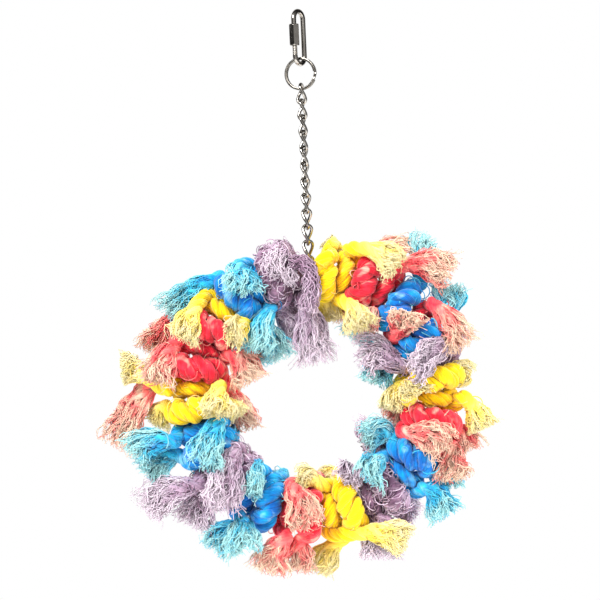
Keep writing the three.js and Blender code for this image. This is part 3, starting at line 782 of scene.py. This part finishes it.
def looseCurls(route, frames, frayLengths, colour):
    # Short arcs of yarn that stand off the rope between its two frays
    tangents, normals, binormals = frames
    count = looseYarns[colour]
    first = int(frayLengths[0] * curlSet["inFray"] / layRope["step"])
    last = len(route) - int(frayLengths[1] * curlSet["inFray"] / layRope["step"])
    place = rng.integers(first, last, count)
    side = rng.uniform(0, 2 * math.pi, count)[:, None]
    outward = normals[place] * np.cos(side) + binormals[place] * np.sin(side)
    across = np.cross(tangents[place], outward)
    sweep = rng.uniform(0, 2 * math.pi, count)[:, None]
    level = tangents[place] * np.cos(sweep) + across * np.sin(sweep)
    rise = rng.uniform(*curlSet["rise"], count)[:, None]
    heading = level * np.cos(rise) + outward * np.sin(rise)
    inward = level * np.sin(rise) - outward * np.cos(rise)
    radius = rng.uniform(*curlSet["radius"], count)[:, None, None]
    turn = (np.radians(rng.uniform(*curlSet["turn"], count))[:, None]
            * np.linspace(0, 1, curlSet["steps"])[None, :])[..., None]
    reach = layRope["layRadius"] + layRope["strandRadius"] - curlSet["lift"]
    root = route[place] + outward * reach
    rows = root[:, None] + radius * (np.sin(turn) * heading[:, None] + (1 - np.cos(turn)) * inward[:, None])
    wash = (rng.uniform(*curlSet["wash"], count)[:, None]
            + np.linspace(0, curlSet["paler"], curlSet["steps"])[None, :])
    return tubes(rows * mm, yarnSet["radius"] * mm, yarnSet["sides"], wash=wash)


# Yarns of one tie that have come loose and hang in front of the chain's last link. They pass
# these places, in mm across, in front of and above the top of the hoop
looseLock = {"tie": 36, "yarns": 110, "spread": 3.9, "narrowed": 0.7, "widening": 0.6,
             "wave": 1.8, "waveShare": (0.16, 0.42), "step": 1.2,
             "wash": 0.1, "paler": 0.55, "uneven": (-0.15, 0.25),
             "through": [(-15, 13, 0), (-9, 17, 6), (-2, 20, 5), (1, 22, -3), (1, 21, -13), (-2, 18, -24)]}


def hangingLock():
    route = evenlySpaced(np.array([(x, -inFront, hoopTopZ + above)
                                   for x, inFront, above in looseLock["through"]], float),
                         looseLock["step"])
    _, normals, binormals = (part[0] for part in carriedFrames(route[None]))
    count = looseLock["yarns"]
    t = np.linspace(0, 1, len(route))[None, :]
    angle = (np.arange(count) * goldenAngle)[:, None]
    width = looseLock["narrowed"] + looseLock["widening"] * t
    reach = looseLock["spread"] * np.sqrt((np.arange(count) + 0.5) / count)[:, None] * width
    length = rng.uniform(*looseLock["waveShare"], (count, 2))
    phase = rng.uniform(0, 2 * math.pi, (count, 2))
    wave = looseLock["wave"]
    u = reach * np.cos(angle) + wave * np.sin(2 * math.pi * t / length[:, :1] + phase[:, :1])
    v = reach * np.sin(angle) + wave * np.sin(2 * math.pi * t / length[:, 1:] + phase[:, 1:])
    rows = route + normals * u[..., None] + binormals * v[..., None]
    wash = looseLock["wash"] + looseLock["paler"] * t + rng.uniform(*looseLock["uneven"], (count, 1))
    return tubes(rows * mm, yarnSet["radius"] * mm, yarnSet["sides"], wash=wash)


# The toy swings on the chain, which has pressed the rope on either side out of its way
chainRoom = {"halfWidth": 4.6, "swing": 25, "pressed": 5, "fade": 3, "from": 1}  # mm and degrees


def pressAside(corners, side):
    # Squeezes what lies in the fan that the chain sweeps into a band outside it
    x = corners[:, 0] * side / mm
    inFront = np.abs(corners[:, 1]) / mm
    above = corners[:, 2] / mm - hoopTopZ
    lean = math.tan(math.radians(chainRoom["swing"]))
    # The last link's pivot, seen from the top of the hoop
    pivot = centreLength - 1.5 * chainSet["wire"] - clearance - hoopSet["wire"] / 2
    room = chainRoom["halfWidth"] + lean * np.clip(above - pivot, 0, None)
    outer = room + chainRoom["pressed"]
    pressed = room + np.clip(x, 0, None) * chainRoom["pressed"] / outer
    reach = chainRoom["halfWidth"] + lean * np.clip(above, 0, None)
    share = (np.clip((reach + chainRoom["fade"] - inFront) / chainRoom["fade"], 0, 1)
             * np.clip((above - chainRoom["from"]) / chainRoom["fade"], 0, 1))
    corners[:, 0] = np.where(x < outer, x + (pressed - x) * share, x) * side * mm


def ropeTie(number, colour, facing, outerTip, innerTip):
    route, tailLengths = tieRoute(number, facing, outerTip, innerTip)
    frayLengths = [frays[colour]["share"] * length for length in tailLengths]
    frames = tuple(part[0] for part in carriedFrames(route[None]))
    parts = [laidStrands(route, frames, frayLengths),
             frayedEnd(route, frames, frayLengths[0], colour, True),
             frayedEnd(route, frames, frayLengths[1], colour, False),
             looseCurls(route, frames, frayLengths, colour)]
    if number in (1, len(ropeTies)):
        for part in parts:
            pressAside(part["corners"], 1 if number == 1 else -1)
    if number == looseLock["tie"]:
        parts.append(hangingLock())
    makePiece(f"cotton_tie_{number:02d}_{colour}", parts, cottons[colour], "hoop",
              [f"rope_{number:02d}_{colour}"])


for number, tie in enumerate(ropeTies, 1):
    ropeTie(number, *tie)

print("floor, lamps and sky")

# Metres, and the floor's grain in mm. The sky's ramp runs from in front of the toy to behind it
stageSet = {"floorZ": -0.46, "floorSize": 1.1, "floor": "fbfbfb", "grain": 2.5, "grainDepth": 0.3}
skySet = {"even": 0.70, "aside": -0.18,
          "room": [(0.0, "d0d0d0"), (0.20, "7c7c7e"), (0.42, "161618"), (0.72, "303032"), (0.88, "ffffff")]}
lamps = [
    {"name": "key lamp", "at": (-0.7, -1.2, 0.75), "size": 0.7, "watts": 38},
    {"name": "fill lamp", "at": (1.1, -1.0, 0.1), "size": 1.0, "watts": 15},
    {"name": "top lamp", "at": (0.1, 0.3, 1.2), "size": 0.9, "watts": 10},
    {"name": "back lamp", "at": (0.8, 1.2, 0.3), "size": 1.0, "watts": 22},
]
target = Vector((0, 0, hoopCentreZ * mm))


def makeFloor():
    size = stageSet["floorSize"] / 2
    mesh = bpy.data.meshes.new("floor")
    corners = [(-size, -size, 0), (size, -size, 0), (size, size, 0), (-size, size, 0)]
    mesh.from_pydata(corners, [], [(0, 1, 2, 3)])
    floor = intoScene("floor", mesh)
    floor.location = (0, 0, stageSet["floorZ"])
    material, tree = newMaterial("white card floor")
    coords = addNode(tree, "ShaderNodeTexCoord")
    grain = addNode(tree, "ShaderNodeTexNoise", {"Scale": 1000 / stageSet["grain"], "Detail": 2.0},
                    {"Vector": coords.outputs["Object"]})
    bump = addNode(tree, "ShaderNodeBump", {"Strength": 0.05, "Distance": stageSet["grainDepth"] * mm},
                   {"Height": grain.outputs["Fac"]})
    card = addNode(tree, "ShaderNodeBsdfPrincipled",
                   {"Base Color": linear(stageSet["floor"]), "Roughness": 0.9},
                   {"Normal": bump.outputs["Normal"]})
    addNode(tree, "ShaderNodeOutputMaterial", None, {"Surface": card.outputs[0]})
    mesh.materials.append(material)


def makeLamp(lamp):
    # All but the key lamp stay out of the metal, which shows the room instead
    data = bpy.data.lights.new(lamp["name"], "AREA")
    data.shape = "SQUARE"
    data.size = lamp["size"]
    data.energy = lamp["watts"]
    light = intoScene(lamp["name"], data)
    light.location = lamp["at"]
    light.rotation_euler = (target - Vector(lamp["at"])).to_track_quat("-Z", "Y").to_euler()
    light.visible_glossy = lamp["name"] == "key lamp"


def makeSky():
    # White to the camera and even on the rope. The metal sees a room instead: light in front,
    # dark at the sides, darker on the left, and white behind the toy
    world = bpy.data.worlds.new("studio")
    bpy.context.scene.world = world
    world.use_nodes = True
    tree = world.node_tree
    tree.nodes.clear()
    coords = addNode(tree, "ShaderNodeTexCoord")
    parts = addNode(tree, "ShaderNodeSeparateXYZ", None, {0: coords.outputs["Generated"]})
    aside = addNode(tree, "ShaderNodeMath", {"operation": "MULTIPLY", 1: skySet["aside"]},
                    {0: parts.outputs["X"]})
    depth = addNode(tree, "ShaderNodeMath", {"operation": "ADD"},
                    {0: parts.outputs["Y"], 1: aside.outputs[0]})
    share = addNode(tree, "ShaderNodeMapRange", {"From Min": -1.0, "From Max": 1.0},
                    {"Value": depth.outputs[0]})
    room = addNode(tree, "ShaderNodeValToRGB", None, {"Fac": share.outputs["Result"]})
    setRamp(room, skySet["room"])
    even = addNode(tree, "ShaderNodeBackground", {"Color": (1, 1, 1, 1), "Strength": skySet["even"]})
    seen = addNode(tree, "ShaderNodeBackground", None, {"Color": room.outputs["Color"]})
    white = addNode(tree, "ShaderNodeBackground", {"Color": (1, 1, 1, 1)})
    path = addNode(tree, "ShaderNodeLightPath")
    metal = addNode(tree, "ShaderNodeMixShader", None,
                    {0: path.outputs["Is Glossy Ray"], 1: even.outputs[0], 2: seen.outputs[0]})
    mix = addNode(tree, "ShaderNodeMixShader", None,
                  {0: path.outputs["Is Camera Ray"], 1: metal.outputs[0], 2: white.outputs[0]})
    addNode(tree, "ShaderNodeOutputWorld", None, {"Surface": mix.outputs[0]})


makeFloor()
for lamp in lamps:
    makeLamp(lamp)
makeSky()
bpy.context.scene.view_settings.view_transform = "Standard"

print("done")
